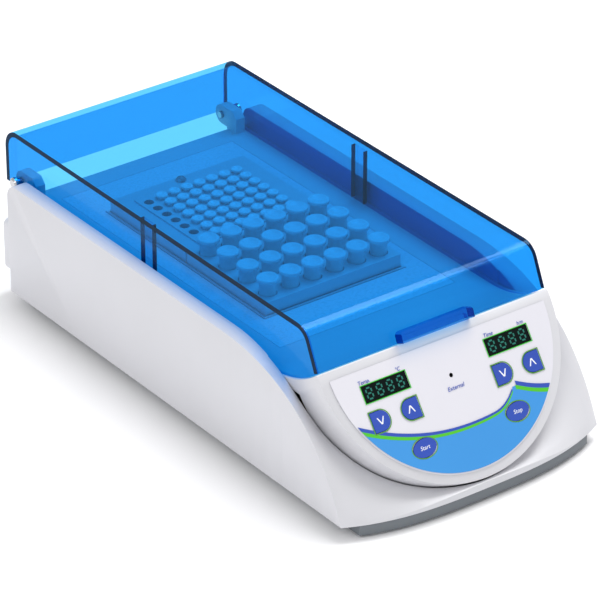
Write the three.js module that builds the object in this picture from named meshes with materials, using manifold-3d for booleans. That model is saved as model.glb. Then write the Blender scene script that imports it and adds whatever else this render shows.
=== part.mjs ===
// A compact dry block heater with two lift-out heat blocks under a hinged acrylic lid.
// Millimetres, +Z up, the front faces -Y. The origin is under the middle of the object.
import * as THREE from 'three';
import { mergeVertices } from 'three/addons/utils/BufferGeometryUtils.js';
import Module from 'manifold-3d';

const wasm = await Module();
wasm.setup();

// ---------------------------------------------------------------- driving dimensions
// Depths are measured forward from the housing's rear wall.
const REAR = 161.65;           // Y of the rear wall, so that the whole depth is centred on Y = 0
const HALF_WIDTH = 90;         // housing, centre to outer side
const WALL_HALF = 80;          // centre to the inner face of the side walls
const SIDE_DEPTH = 325;        // rear wall to the front corners
const BOW = 15.3;              // how far the front edge bulges past the corners
const SHELL_BOTTOM = 8.5;
const WALL_TOP = 81;
const SLOPE_START = 215;       // where the side ridge begins to fall
const SLOPE_KNEE = 297;        // control point of the ridge curve
const LIP = 4.5;               // height of the fascia under the middle of the pod
const SAG_END = 0.65;          // share of the slope by which the fascia has sunk to its foot
const SKIN = 3;                // moulded wall thickness
const DECK_TOP = 67.5;
const DECK_FLAT_END = 245;     // where the deck starts to curve up
const DECK_RADIUS = 69;
const CREST_DEPTH = 289;
const PANEL_TILT = THREE.MathUtils.degToRad(54.3);
const PANEL_DEPTH = 292.6;     // the panel's datum, the middle of the half round
const PANEL_Z = 79.8;
const POD_RADIUS = 80;
const SKIRT_DEPTH = 24;        // the pod's side wall, square to the panel
const FIT = 0.4;               // clearance between mouldings
const POD_GAP = 0.9;           // open seam round the pod
const SLACK = 0.3;             // clearance of keys, pins and plates in their holes
const FAR = 200;               // past every side of the object, for cutting bodies
const OVER = 1;                // how far a cutting body reaches past the face that it opens

const LID_HALF = 79;
const SHEET = 3;
const LID_TOP = 107.5;
const LID_REAR = 17;           // how far the lid's rear panel stands behind the housing
const LID_REAR_BOTTOM = 72.5;
const LID_BEND = 12;           // outside radius of both bends
const LID_FRONT_LEAN = 0.45;   // forward run of the front panel for each millimetre down
const LID_FRONT_BOTTOM = 83.9;
const LID_FRONT_FOOT = 288.7;
const HINGE_DEPTH = -6;
const HINGE_Z = 75;
const PIN_RADIUS = 2;

const BLOCK_WIDTH = 95.3;      // standard modular block, 3.75 by 3 inches
const BLOCK_DEPTH = 76.2;
const BLOCK_TOP = 75.8;
const BLOCK_BOTTOM = 25.8;
const BLOCKS_MIDDLE = 122;     // depth of the joint between the two blocks
const BLOCK_GAP = 0.8;
const TUBE_PITCH_X = 15.64;
const TUBE_PITCH_Y = 19.05;
const TUBE_WELL = 5.6;
const STRIP_PITCH = 9;
const STRIP_WELL = 3.1;

const KEY_SIZE = 11.4;
const KEY_ROW = 30.1;          // distances down the panel from its datum
const RUN_ROW = 52.5;
const RUN_OVAL = [7.8, 5.1];   // half width and half height of the start and stop keys
const RUN_TURN = 0.12;         // their turn in the panel's plane, in radians
const THROUGH = 20;            // length of the cutting bodies that pass through the panel
const DISPLAY_ROW = 14;
const DISPLAY_X = 42.5;
const DISPLAY = [30.2, 9.8];
const JACK_ROW = 20.8;
const JACK = { radius: 2.7, bore: 1.2, foot: -8.2, floor: -4, top: 0.1 };

const COLOURS = {
  shell: 0xe3e3e6, base: 0x4b5157, acrylic: 0x1f8fe8, aluminium: 0xb9bcc0, steel: 0xc8cbcf,
  rubber: 0x202124, black: 0x17191c, blue: 0x2d4fb5, board: 0x1f6b3c, foam: 0xd9d6cc,
  heater: 0x8a3b1e, insert: 0xdfe1e4, overlay: 0xe2e1e6, glass: 0x0b2b2c, copper: 0xb87333,
};

// ---------------------------------------------------------------- helpers
const depth = (f) => REAR - f;

function finish(colour, roughness, metalness = 0, opacity = 1) {
  return new THREE.MeshStandardMaterial({
    color: COLOURS[colour], roughness, metalness, opacity, transparent: opacity < 1,
  });
}

function solid(geometry) {
  const bare = geometry.clone();
  bare.deleteAttribute('normal');
  bare.deleteAttribute('uv');
  const merged = mergeVertices(bare, 1e-4);
  return new wasm.Manifold(new wasm.Mesh({
    numProp: 3,
    vertProperties: new Float32Array(merged.attributes.position.array),
    triVerts: new Uint32Array(merged.index.array),
  }));
}

function geometryOf(body) {
  const mesh = body.getMesh();
  const geometry = new THREE.BufferGeometry();
  geometry.setAttribute('position', new THREE.BufferAttribute(mesh.vertProperties, 3));
  geometry.setIndex(new THREE.BufferAttribute(mesh.triVerts, 1));
  return geometry;
}

const cutAll = (body, cuts) => cuts.reduce((rest, cut) => rest.subtract(cut), body);

function shapeOf(points) {
  return new THREE.Shape(points.map(([x, y]) => new THREE.Vector2(x, y)));
}

// A side outline, given as [depth, height] pairs, swept across X.
function sweepX(points, x0, x1) {
  const geometry = plate(shapeOf(points.map(([f, z]) => [depth(f), z])), x1 - x0);
  const basis = new THREE.Matrix4().makeBasis(
    new THREE.Vector3(0, 1, 0), new THREE.Vector3(0, 0, 1), new THREE.Vector3(1, 0, 0));
  return geometry.applyMatrix4(basis).translate(x0, 0, 0);
}

// A box between two X values, two depths and two heights.
function block(x0, x1, f0, f1, z0, z1) {
  return new THREE.BoxGeometry(x1 - x0, f1 - f0, z1 - z0)
    .translate((x0 + x1) / 2, depth((f0 + f1) / 2), (z0 + z1) / 2);
}

function roundedRectangle(width, height, radius) {
  const [x, y] = [width / 2, height / 2];
  const shape = new THREE.Shape();
  shape.moveTo(-x + radius, -y);
  shape.lineTo(x - radius, -y).absarc(x - radius, -y + radius, radius, -Math.PI / 2, 0);
  shape.lineTo(x, y - radius).absarc(x - radius, y - radius, radius, 0, Math.PI / 2);
  shape.lineTo(-x + radius, y).absarc(-x + radius, y - radius, radius, Math.PI / 2, Math.PI);
  shape.lineTo(-x, -y + radius).absarc(-x + radius, -y + radius, radius, Math.PI, Math.PI * 1.5);
  return shape;
}

// An outline's points with its repeated ones left out.
function outlineOf(shape, curveSegments) {
  const points = shape.getPoints(curveSegments);
  return new THREE.Shape(points.filter((p, i) =>
    p.distanceTo(points[(i + points.length - 1) % points.length]) > 1e-3));
}

function plate(shape, thickness, curveSegments = 6) {
  return new THREE.ExtrudeGeometry(outlineOf(shape, curveSegments),
    { depth: thickness, bevelEnabled: false });
}

// A round bar from z = 0 up.
function rod(radius, length, sides = 20) {
  const turns = Array.from({ length: sides }, (_, i) => 2 * Math.PI * i / sides);
  return plate(shapeOf(turns.map((a) => [radius * Math.cos(a), radius * Math.sin(a)])), length);
}

// A turned body about Y, from its outline as [radius, height] pairs.
function lathe(points, sides = 20) {
  return new THREE.LatheGeometry(points.map(([r, h]) => new THREE.Vector2(r, h)), sides);
}

// A round bar along X.
function barX(radius, x0, x1, f, z, sides = 20) {
  return rod(radius, x1 - x0, sides).rotateY(Math.PI / 2).translate(x0, depth(f), z);
}

function arcPoints(cf, cz, radius, from, to, steps) {
  return Array.from({ length: steps + 1 }, (_, i) => {
    const a = from + (to - from) * i / steps;
    return [cf + radius * Math.cos(a), cz + radius * Math.sin(a)];
  });
}

const object = new THREE.Group();

function add(name, geometry, material, parent = object) {
  const mesh = new THREE.Mesh(geometry, material);
  mesh.name = name;
  parent.add(mesh);
  return mesh;
}

// ---------------------------------------------------------------- outer housing
// The front edge in plan: the depth of the front at a distance x from the middle.
function frontDepth(x, inset = 0) {
  const u = Math.min(1, Math.abs(x) / (HALF_WIDTH - inset));
  return SIDE_DEPTH - inset + BOW * (1 - u ** 3);
}

// Height of the side ridge: level at the rear, then a quadratic curve to the front corner.
function ridge(t) {
  const knee = (SLOPE_KNEE - SLOPE_START) / (SIDE_DEPTH - SLOPE_START);
  const s = knee === 0.5 ? t : (-knee + Math.sqrt(knee ** 2 + (1 - 2 * knee) * t)) / (1 - 2 * knee);
  return WALL_TOP * (1 - s * s) + SHELL_BOTTOM * s * s;
}

// Height of the housing's skin. It sags toward the middle as it nears the front edge.
function skinHeight(x, f) {
  const t = THREE.MathUtils.clamp((f - SLOPE_START) / (frontDepth(x) - SLOPE_START), 0, 1);
  const u = (x / HALF_WIDTH) ** 2;
  const sag = (1 - u) * Math.min(1, (t / SAG_END) ** 2);
  const foot = SHELL_BOTTOM + LIP * (1 - u);
  return foot + (ridge(t) - foot) * (1 - sag);
}

// A box whose columns are moved onto the plan outline and whose top follows the skin.
function housingBody(inset, bottom, ceiling) {
  const [columns, rows, level, least] = [26, 30, 0.1, 0.5];
  const geometry = new THREE.BoxGeometry(1, 1, 1, columns, rows, 1);
  const position = geometry.attributes.position;
  const half = HALF_WIDTH - inset;
  for (let i = 0; i < position.count; i += 1) {
    const x = 2 * half * position.getX(i);
    const v = 0.5 - position.getY(i);
    // Most of the rows lie on the falling front stretch.
    const front = frontDepth(x, inset);
    const f = v < level ? inset + (SLOPE_START - inset) * v / level
      : SLOPE_START + (front - SLOPE_START) * (v - level) / (1 - level);
    const top = Math.min(ceiling, skinHeight(x * HALF_WIDTH / half, f + inset) - inset);
    position.setXYZ(i, x, depth(f), position.getZ(i) > 0 ? Math.max(top, bottom + least) : bottom);
  }
  return solid(geometry);
}

const COLUMN = 60;              // reach of the pod's cutting bodies each way from the panel
const panelMatrix = new THREE.Matrix4()
  .makeRotationX(PANEL_TILT).setPosition(0, depth(PANEL_DEPTH), PANEL_Z);

// The pod's outline in the panel's plane: a half round with straight sides above it.
function podOutline(radius, height) {
  const shape = new THREE.Shape();
  shape.moveTo(-radius, height);
  shape.lineTo(-radius, 0);
  shape.absarc(0, 0, radius, Math.PI, 2 * Math.PI);
  shape.lineTo(radius, height);
  return shape;
}

function podColumn(radius, below = COLUMN, above = COLUMN, height = 70) {
  const geometry = plate(podOutline(radius, height), above + below, 48);
  return solid(geometry.translate(0, 0, -below).applyMatrix4(panelMatrix));
}

const OPENING_START = 246;
const frontHalf = solid(block(-FAR, FAR, OPENING_START, 2 * FAR, -FAR, FAR));
const CAVITY_TOP = 60;
const UNDERCUT = 5;            // how far the cavity's cutting body reaches below the housing
const LEDGE_TOP = DECK_TOP - SKIN - SLACK;
const LEDGE = { half: 70, rear: 10 };                 // inner edges of the ledge under the deck
const REAR_WAY = { half: 60, bottom: 22, top: 42 };   // way for the wiring into the rear box
const REAR_ROUND = 9;          // round of the rear wall into the top of the side walls
const cornerCut = solid(sweepX([
  [-OVER, WALL_TOP - REAR_ROUND],
  ...arcPoints(REAR_ROUND, WALL_TOP - REAR_ROUND, REAR_ROUND, Math.PI, Math.PI / 2, 8),
  [REAR_ROUND, FAR], [-OVER, FAR],
], -FAR, FAR));
const housing = cutAll(housingBody(0, SHELL_BOTTOM, WALL_TOP), [
  housingBody(SKIN, SHELL_BOTTOM - UNDERCUT, CAVITY_TOP),
  solid(block(-WALL_HALF - FIT, WALL_HALF + FIT, -OVER, OPENING_START + OVER, LEDGE_TOP, FAR)),
  solid(block(-LEDGE.half, LEDGE.half, LEDGE.rear, OPENING_START + OVER, CAVITY_TOP - OVER, FAR)),
  podColumn(POD_RADIUS + POD_GAP, COLUMN + UNDERCUT).intersect(frontHalf),
  solid(block(-REAR_WAY.half, REAR_WAY.half, -OVER, SKIN + OVER, REAR_WAY.bottom, REAR_WAY.top)),
  cornerCut,
]);
add('outer_housing', geometryOf(housing), finish('shell', 0.45));

// ---------------------------------------------------------------- deck and control pod
// One moulding: the flat deck, its upward curve, the crest and the tilted half-round pod.
const panelRun = (v) => [
  PANEL_DEPTH + v * Math.cos(PANEL_TILT), PANEL_Z - v * Math.sin(PANEL_TILT)];
const inward = ([f, z], d) => [f - d * Math.sin(PANEL_TILT), z - d * Math.cos(PANEL_TILT)];
const curveEnd = Math.asin((CREST_DEPTH - DECK_FLAT_END) / DECK_RADIUS);

function deckLine(drop) {
  const radius = DECK_RADIUS + drop;
  const curve = arcPoints(DECK_FLAT_END, DECK_TOP + DECK_RADIUS, radius,
    -Math.PI / 2, -Math.PI / 2 + curveEnd, 10);
  return curve;
}

const crestCurve = deckLine(0);
const CREST = { run: 1.4, fall: 0.5, end: 0.2 };   // the small round between deck and panel
const POD_FOOT = POD_RADIUS + 2;
const shellTop = [
  [SLACK, DECK_TOP], ...crestCurve,
  [CREST_DEPTH + CREST.run, crestCurve.at(-1)[1] - CREST.fall], panelRun(CREST.end),
  panelRun(POD_FOOT)];
const skirtFoot = inward(panelRun(POD_FOOT), SKIRT_DEPTH);
const skirtHead = inward(panelRun((PANEL_Z - SKIRT_DEPTH * Math.cos(PANEL_TILT) - DECK_TOP + SKIN)
  / Math.sin(PANEL_TILT)), SKIRT_DEPTH);
const shellOuter = solid(sweepX([
  ...shellTop, skirtFoot, skirtHead, [SLACK, DECK_TOP - SKIN],
], -WALL_HALF, WALL_HALF));
const underCurve = deckLine(SKIN).slice(0, -2);
const HOLLOW_START = 226;      // the deck is solid behind this depth
const POD_START = 262.6;       // where the pod's side wall leaves the deck
const shellInner = solid(sweepX([
  [HOLLOW_START, DECK_TOP - SKIN], ...underCurve,
  inward(panelRun(-OVER), SKIN), inward(panelRun(POD_RADIUS + 10 * OVER), SKIN),
  [SIDE_DEPTH, -COLUMN], [HOLLOW_START, -COLUMN],
], -WALL_HALF + SKIN, WALL_HALF - SKIN));
const podOuter = podColumn(POD_RADIUS);
const podInner = podColumn(POD_RADIUS - SKIN);
const deckZone = solid(block(-FAR, FAR, -FAR, POD_START, -FAR, FAR));

const LUG = { thick: 6.4, radius: 6.2, front: 9, shoulder: 5, chamfer: 2, neck: -1 };
const LUG_HALF = LID_HALF - SHEET - 2 * SLACK;
const lug = (side) => {
  const [a, b] = side < 0 ? [-LUG_HALF, -LUG_HALF + LUG.thick] : [LUG_HALF - LUG.thick, LUG_HALF];
  const nose = arcPoints(HINGE_DEPTH, HINGE_Z, LUG.radius, Math.PI / 2, Math.PI * 1.5, 10);
  return solid(sweepX([[LUG.front, DECK_TOP - OVER], [LUG.front, HINGE_Z + LUG.chamfer],
    [LUG.shoulder, HINGE_Z + LUG.radius], ...nose, [LUG.neck, HINGE_Z - LUG.radius],
    [SLACK, DECK_TOP - OVER]], a, b));
};

const INSERT_HALF = 61.5;
const INSERT = [15, 231];
const INSERT_THICK = 1.5;
const INSERT_SEAT = 3.5;       // width of the ledge that the plate rests on
const TRAY_WALL = 1.5;
const TRAY_HALF = BLOCK_WIDTH / 2 + 2 * SLACK + TRAY_WALL;
const TRAY_SPAN = BLOCK_DEPTH + BLOCK_GAP / 2 + 2 * SLACK + TRAY_WALL;

// Places on the panel, in its own frame: x across and y up the slope from the datum.
const KEYS = [
  { name: 'key_temp_down', x: -52.6, row: KEY_ROW, kind: 'down' },
  { name: 'key_temp_up', x: -32.2, row: KEY_ROW, kind: 'up' },
  { name: 'key_time_down', x: 32.2, row: KEY_ROW, kind: 'down' },
  { name: 'key_time_up', x: 52.6, row: KEY_ROW, kind: 'up' },
  { name: 'key_start', x: -32.4, row: RUN_ROW, kind: 'run' },
  { name: 'key_stop', x: 32.4, row: RUN_ROW, kind: 'run' },
];

// A key face: square on one side and round on the other, or an oval for start and stop.
function keyShape(kind, grow = 0) {
  const r = KEY_SIZE / 2 + grow;
  const shape = new THREE.Shape();
  if (kind === 'run') {
    shape.absellipse(0, 0, RUN_OVAL[0] + grow, RUN_OVAL[1] + grow, 0, 2 * Math.PI, false, RUN_TURN);
    return shape;
  }
  const flip = kind === 'down' ? 1 : -1;
  shape.moveTo(-flip * r, -flip * r);
  shape.lineTo(0, -flip * r);
  shape.absarc(0, 0, r, -flip * Math.PI / 2, -flip * Math.PI / 2 + Math.PI);
  shape.lineTo(-flip * r, flip * r);
  return shape;
}

const displayHole = (grow) =>
  new THREE.BoxGeometry(DISPLAY[0] + grow, DISPLAY[1] + grow, THROUGH);
const onPanel = (geometry) => solid(geometry.applyMatrix4(panelMatrix));
const POD_CLEAR = 2;           // the pod's wall ends this far above the housing's foot
const panelHoles = [
  ...KEYS.map(({ x, row, kind }) =>
    onPanel(plate(keyShape(kind, SLACK), THROUGH, 10).translate(x, -row, -THROUGH / 2))),
  ...[-1, 1].map((side) => onPanel(displayHole(2 * SLACK).translate(side * DISPLAY_X, -DISPLAY_ROW, 0))),
  onPanel(rod(JACK.radius + 2 * SLACK, THROUGH).translate(0, -JACK_ROW, -THROUGH / 2)),
];
const topShell = cutAll(
  shellOuter.intersect(podOuter.add(deckZone)).subtract(shellInner.intersect(podInner.add(deckZone)))
    .add(lug(-1)).add(lug(1)), [
    ...panelHoles,
    solid(block(-INSERT_HALF - SLACK, INSERT_HALF + SLACK, INSERT[0] - SLACK, INSERT[1] + SLACK,
      DECK_TOP - INSERT_THICK - SLACK, DECK_TOP + OVER)),
    solid(block(-INSERT_HALF + INSERT_SEAT, INSERT_HALF - INSERT_SEAT, INSERT[0] + INSERT_SEAT,
      INSERT[1] - INSERT_SEAT, -FAR, FAR)),
    solid(barX(PIN_RADIUS + SLACK, -FAR, FAR, HINGE_DEPTH, HINGE_Z)),
    solid(block(-FAR, FAR, OPENING_START, 2 * FAR, -FAR, SHELL_BOTTOM + POD_CLEAR)),
  ]);
add('top_shell', geometryOf(topShell), finish('shell', 0.4));

const insertPlate = cutAll(
  solid(block(-INSERT_HALF, INSERT_HALF, INSERT[0], INSERT[1], DECK_TOP - INSERT_THICK,
    DECK_TOP)), [
    solid(block(-TRAY_HALF - SLACK, TRAY_HALF + SLACK, BLOCKS_MIDDLE - TRAY_SPAN - SLACK,
      BLOCKS_MIDDLE + TRAY_SPAN + SLACK, -FAR, FAR))]);
add('insert_plate', geometryOf(insertPlate), finish('insert', 0.4));

// ---------------------------------------------------------------- base, feet, rear box
const BASE = { sides: 10, front: 1, bottom: 1.5, wall: 4, floor: 2.5, top: SHELL_BOTTOM - 0.2 };
// The base's rim inside the housing. It stops short of the front corners.
const RIM = { inset: SKIN + FIT + 1, thick: 1.2, bottom: SHELL_BOTTOM - 0.3, end: 310 };
// A plate outline that stays inside the housing by one distance at the sides and another in front.
function planShape(sides, front = sides) {
  const shape = new THREE.Shape();
  const half = HALF_WIDTH - sides;
  const steps = 24;
  shape.moveTo(-half, depth(sides));
  for (let i = 0; i <= steps; i += 1) {
    const x = -half + 2 * half * i / steps;
    shape.lineTo(x, depth(frontDepth(x) - front));
  }
  shape.lineTo(half, depth(sides));
  return shape;
}
const rim = solid(plate(planShape(RIM.inset), RIM.thick).translate(0, 0, RIM.bottom))
  .intersect(solid(block(-FAR, FAR, -FAR, RIM.end, -FAR, FAR)));
const basePlate = solid(plate(planShape(BASE.sides, BASE.front), BASE.top - BASE.bottom)
  .translate(0, 0, BASE.bottom)).add(rim)
  .subtract(solid(plate(planShape(BASE.sides + BASE.wall, BASE.front + BASE.wall), FAR)
    .translate(0, 0, BASE.bottom + BASE.floor)));
add('base_tray', geometryOf(basePlate), finish('base', 0.6));

const FOOT = { x: 70, rear: 22, front: 300, sole: 6, top: 7.5 };
for (const [name, side, f] of [['foot_rear_left', -1, FOOT.rear], ['foot_rear_right', 1, FOOT.rear],
  ['foot_front_left', -1, FOOT.front], ['foot_front_right', 1, FOOT.front]]) {
  const foot = lathe([[0, 0], [FOOT.sole, 0], [FOOT.top, BASE.bottom], [0, BASE.bottom]]);
  const mesh = add(name, foot.rotateX(Math.PI / 2), finish('rubber', 0.9));
  mesh.position.set(side * FOOT.x, depth(f), 0);
}

const BOX = { half: 84, out: 15, z0: 14.5, z1: 48.5, corner: 4, inner: 2 };
const INLET_X = -34;
const SWITCH_X = 34;
const MODULE_Z = 31.5;
const INLET = { half: 13.7, tall: 9.7, flangeHalf: 16, flangeTall: 12, flangeThick: 1.8, inner: -2 };
const SWITCH = { half: 10.7, tall: 6.7, flangeHalf: 12.5, flangeTall: 8.5, flangeThick: 1.5, inner: -3 };
const MOUTH = -BOX.out - 3;    // in front of every flange, for cutting bodies
const BOX_MIDDLE = (BOX.z0 + BOX.z1) / 2;
// An opening through the box's rear wall for a module, with a little slack round it.
const moduleHole = (x, { half, tall }) => solid(block(x - half - SLACK, x + half + SLACK,
  -BOX.out - OVER, -BOX.out + SKIN + OVER, MODULE_Z - tall - SLACK, MODULE_Z + tall + SLACK));
const boxShell = cutAll(solid(plate(roundedRectangle(2 * BOX.half, BOX.z1 - BOX.z0, BOX.corner),
  BOX.out - SLACK).rotateX(Math.PI / 2).translate(0, depth(-BOX.out), BOX_MIDDLE)), [
  solid(plate(roundedRectangle(2 * (BOX.half - SKIN), BOX.z1 - BOX.z0 - 2 * SKIN, BOX.inner),
    BOX.out).rotateX(Math.PI / 2).translate(0, depth(-BOX.out + SKIN), BOX_MIDDLE)),
  moduleHole(INLET_X, INLET),
  moduleHole(SWITCH_X, SWITCH),
]);
add('rear_box', geometryOf(boxShell), finish('shell', 0.5));

// A module's body with the flange that lies on the box's outer face.
function moduleBody(x, { half, tall, flangeHalf, flangeTall, flangeThick, inner }) {
  return solid(block(x - half, x + half, -BOX.out - OVER, inner, MODULE_Z - tall, MODULE_Z + tall))
    .add(solid(block(x - flangeHalf, x + flangeHalf, -BOX.out - flangeThick, -BOX.out - 0.1,
      MODULE_Z - flangeTall, MODULE_Z + flangeTall)));
}
const SOCKET = { half: 11.5, below: 7.5, above: 2, end: -4 };
const FUSE = { half: 10, below: 4, above: 8.6, end: -5.6, face: -BOX.out - 2 };
const NOTCH = { half: 3, margin: 1.4, end: -BOX.out - 0.8 };   // finger notch in the fuse drawer
const inlet = cutAll(moduleBody(INLET_X, INLET), [
  solid(block(INLET_X - SOCKET.half, INLET_X + SOCKET.half, MOUTH, SOCKET.end,
    MODULE_Z - SOCKET.below, MODULE_Z + SOCKET.above)),
  solid(block(INLET_X - FUSE.half - SLACK, INLET_X + FUSE.half + SLACK, MOUTH,
    FUSE.end + 2 * SLACK, MODULE_Z + FUSE.below - SLACK, MODULE_Z + FUSE.above + SLACK)),
]);
add('power_inlet', geometryOf(inlet), finish('black', 0.5));
const PIN = { width: 2, length: 9.4, height: 3.6, middle: -9 };
for (const [name, dx, dz] of [['inlet_pin_line', -7, -1.5], ['inlet_pin_neutral', 7, -1.5],
  ['inlet_pin_earth', 0, -5]]) {
  const pin = new THREE.BoxGeometry(PIN.width, PIN.length, PIN.height);
  add(name, pin, finish('steel', 0.3, 1))
    .position.set(INLET_X + dx, depth(PIN.middle), MODULE_Z + dz);
}
const drawer = solid(block(INLET_X - FUSE.half, INLET_X + FUSE.half, FUSE.face, FUSE.end,
  MODULE_Z + FUSE.below, MODULE_Z + FUSE.above)).subtract(
  solid(block(INLET_X - NOTCH.half, INLET_X + NOTCH.half, MOUTH, NOTCH.end,
    MODULE_Z + FUSE.below + NOTCH.margin, MODULE_Z + FUSE.above - NOTCH.margin)));
add('fuse_drawer', geometryOf(drawer), finish('black', 0.45));

const WINDOW = { half: 9.2, tall: 5.4, end: -6 };
const switchFrame = moduleBody(SWITCH_X, SWITCH).subtract(
  solid(block(SWITCH_X - WINDOW.half, SWITCH_X + WINDOW.half, MOUTH, WINDOW.end,
    MODULE_Z - WINDOW.tall, MODULE_Z + WINDOW.tall)));
add('switch_frame', geometryOf(switchFrame), finish('black', 0.5));
const ROCKER_THROW = THREE.MathUtils.degToRad(9);
const ROCKER = { half: 8.2, wing: 3.4, dip: 1.8, foot: -2, keel: -4, keelHalf: 3, width: 9.6, seat: 2.6 };
const rockerShape = shapeOf([[-ROCKER.half, ROCKER.foot], [-ROCKER.half, ROCKER.wing],
  [0, ROCKER.dip], [ROCKER.half, ROCKER.wing], [ROCKER.half, ROCKER.foot],
  [ROCKER.keelHalf, ROCKER.keel], [-ROCKER.keelHalf, ROCKER.keel]]);
const rocker = add('power_switch', plate(rockerShape, ROCKER.width)
  .translate(0, 0, -ROCKER.width / 2), finish('black', 0.35));
const rockerSeat = new THREE.Group();
rockerSeat.position.set(SWITCH_X, depth(-BOX.out + ROCKER.seat), MODULE_Z);
rockerSeat.add(rocker);
rocker.rotation.z = ROCKER_THROW;
object.add(rockerSeat);

// ---------------------------------------------------------------- lid
const lidMatter = () => finish('acrylic', 0.06, 0, 0.55);
const GLUE = 0.05;             // gap of a glued joint in the lid
const LID_CLEAR = 0.6;         // gap between the lid's side panels and the deck

// The bent sheet in side view at a distance inside its outer face.
function lidLine(inside) {
  const radius = LID_BEND - inside;
  const lean = Math.atan(LID_FRONT_LEAN);
  const rearCentre = [-LID_REAR + LID_BEND, LID_TOP - LID_BEND];
  const turn = Math.PI / 2 - lean;
  const apex = LID_FRONT_FOOT - (LID_TOP - LID_FRONT_BOTTOM) * LID_FRONT_LEAN;
  const frontCentre = [apex - LID_BEND * Math.tan(turn / 2), LID_TOP - LID_BEND];
  const out = [Math.cos(lean), Math.sin(lean)];
  return [
    [-LID_REAR + inside, LID_REAR_BOTTOM],
    ...arcPoints(...rearCentre, radius, Math.PI, Math.PI / 2, 8),
    ...arcPoints(...frontCentre, radius, Math.PI / 2, Math.PI / 2 - turn, 8),
    [LID_FRONT_FOOT - inside * out[0], LID_FRONT_BOTTOM - inside * out[1]],
  ];
}
add('lid_sheet', sweepX([...lidLine(0), ...lidLine(SHEET).reverse()], -LID_HALF, LID_HALF),
  lidMatter());

const EDGE_STOP = 0.06;        // radians of the deck's curve left free under the front panel
const REAR_CORNER = 1.5;       // how far the side panels reach below the hinge axis at the rear
const lowerEdge = arcPoints(DECK_FLAT_END, DECK_TOP + DECK_RADIUS, DECK_RADIUS - LID_CLEAR,
  -Math.PI / 2, -Math.PI / 2 + curveEnd - EDGE_STOP, 10);
const sideOutline = [
  ...lidLine(SHEET + GLUE).map(([f, z], i) => (i === 0 ? [f, HINGE_Z - REAR_CORNER] : [f, z])),
  ...lowerEdge.reverse(), [HINGE_DEPTH - 1, DECK_TOP + LID_CLEAR]];
const pinHole = solid(barX(PIN_RADIUS + SLACK, -FAR, FAR, HINGE_DEPTH, HINGE_Z));
for (const [name, x0] of [['lid_side_left', -LID_HALF], ['lid_side_right', LID_HALF - SHEET]]) {
  const panel = solid(sweepX(sideOutline, x0, x0 + SHEET)).subtract(pinHole);
  add(name, geometryOf(panel), lidMatter());
}
const RIB = { depth: 124, half: 6, thick: 2.5, bottom: DECK_TOP + 2.5 };
for (const [name, x0] of [['lid_rib_left', -LID_HALF + SHEET + GLUE],
  ['lid_rib_right', LID_HALF - SHEET - RIB.thick - GLUE]]) {
  add(name, block(x0, x0 + RIB.thick, RIB.depth - RIB.half, RIB.depth + RIB.half,
    RIB.bottom, LID_TOP - SHEET - 2 * GLUE), lidMatter());
}

// The grip: a rounded bar along the foot of the front panel with a finger scoop under it.
const GRIP = { half: 25, height: 6.5, out: 6, corner: 2.6 };
const SCOOP = { width: 44, height: 6.8, corner: 2, bottom: -1, top: 3 };
const gripShape = new THREE.Shape();
gripShape.moveTo(-GRIP.half, 0);
gripShape.lineTo(GRIP.half, 0).lineTo(GRIP.half, GRIP.height - GRIP.corner);
gripShape.absarc(GRIP.half - GRIP.corner, GRIP.height - GRIP.corner, GRIP.corner, 0, Math.PI / 2);
gripShape.lineTo(-GRIP.half + GRIP.corner, GRIP.height);
gripShape.absarc(-GRIP.half + GRIP.corner, GRIP.height - GRIP.corner, GRIP.corner,
  Math.PI / 2, Math.PI);
const gripLean = Math.atan(LID_FRONT_LEAN);
const gripBody = solid(plate(gripShape, GRIP.out, 8)).subtract(
  solid(plate(roundedRectangle(SCOOP.width, SCOOP.height, SCOOP.corner), SCOOP.top - SCOOP.bottom)
    .translate(0, 0, SCOOP.bottom)));
const grip = add('lid_grip', geometryOf(gripBody), lidMatter());
grip.rotation.x = Math.PI / 2 - gripLean;
grip.position.set(0, depth(LID_FRONT_FOOT + 2 * GLUE), LID_FRONT_BOTTOM + 4 * GLUE);

// A headed pin, pressed into the lug from outside.
const PIN_HEAD = { radius: 3.6, start: 12.4, edge: 14, crown: 2.4, top: 15, in: 8 };
for (const [name, side] of [['hinge_pin_left', -1], ['hinge_pin_right', 1]]) {
  const pin = lathe([[0, 0], [PIN_RADIUS, 0], [PIN_RADIUS, PIN_HEAD.start],
    [PIN_HEAD.radius, PIN_HEAD.start], [PIN_HEAD.radius, PIN_HEAD.edge],
    [PIN_HEAD.crown, PIN_HEAD.top], [0, PIN_HEAD.top]]);
  const mesh = add(name, pin.rotateZ(-Math.PI / 2), finish('steel', 0.3, 1));
  mesh.rotation.z = side < 0 ? Math.PI : 0;
  mesh.position.set(side * (LUG_HALF - PIN_HEAD.in), depth(HINGE_DEPTH), HINGE_Z);
}

// ---------------------------------------------------------------- heated well and blocks
const TRAY_FLOOR = BLOCK_BOTTOM - SLACK;
const TRAY_BOTTOM = TRAY_FLOOR - 5;
const TRAY_TOP = DECK_TOP + 0.4;
const tray = solid(block(-TRAY_HALF, TRAY_HALF, BLOCKS_MIDDLE - TRAY_SPAN, BLOCKS_MIDDLE + TRAY_SPAN,
  TRAY_BOTTOM, TRAY_TOP)).subtract(solid(block(-TRAY_HALF + TRAY_WALL, TRAY_HALF - TRAY_WALL,
  BLOCKS_MIDDLE - TRAY_SPAN + TRAY_WALL, BLOCKS_MIDDLE + TRAY_SPAN - TRAY_WALL,
  TRAY_FLOOR, FAR)));
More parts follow.
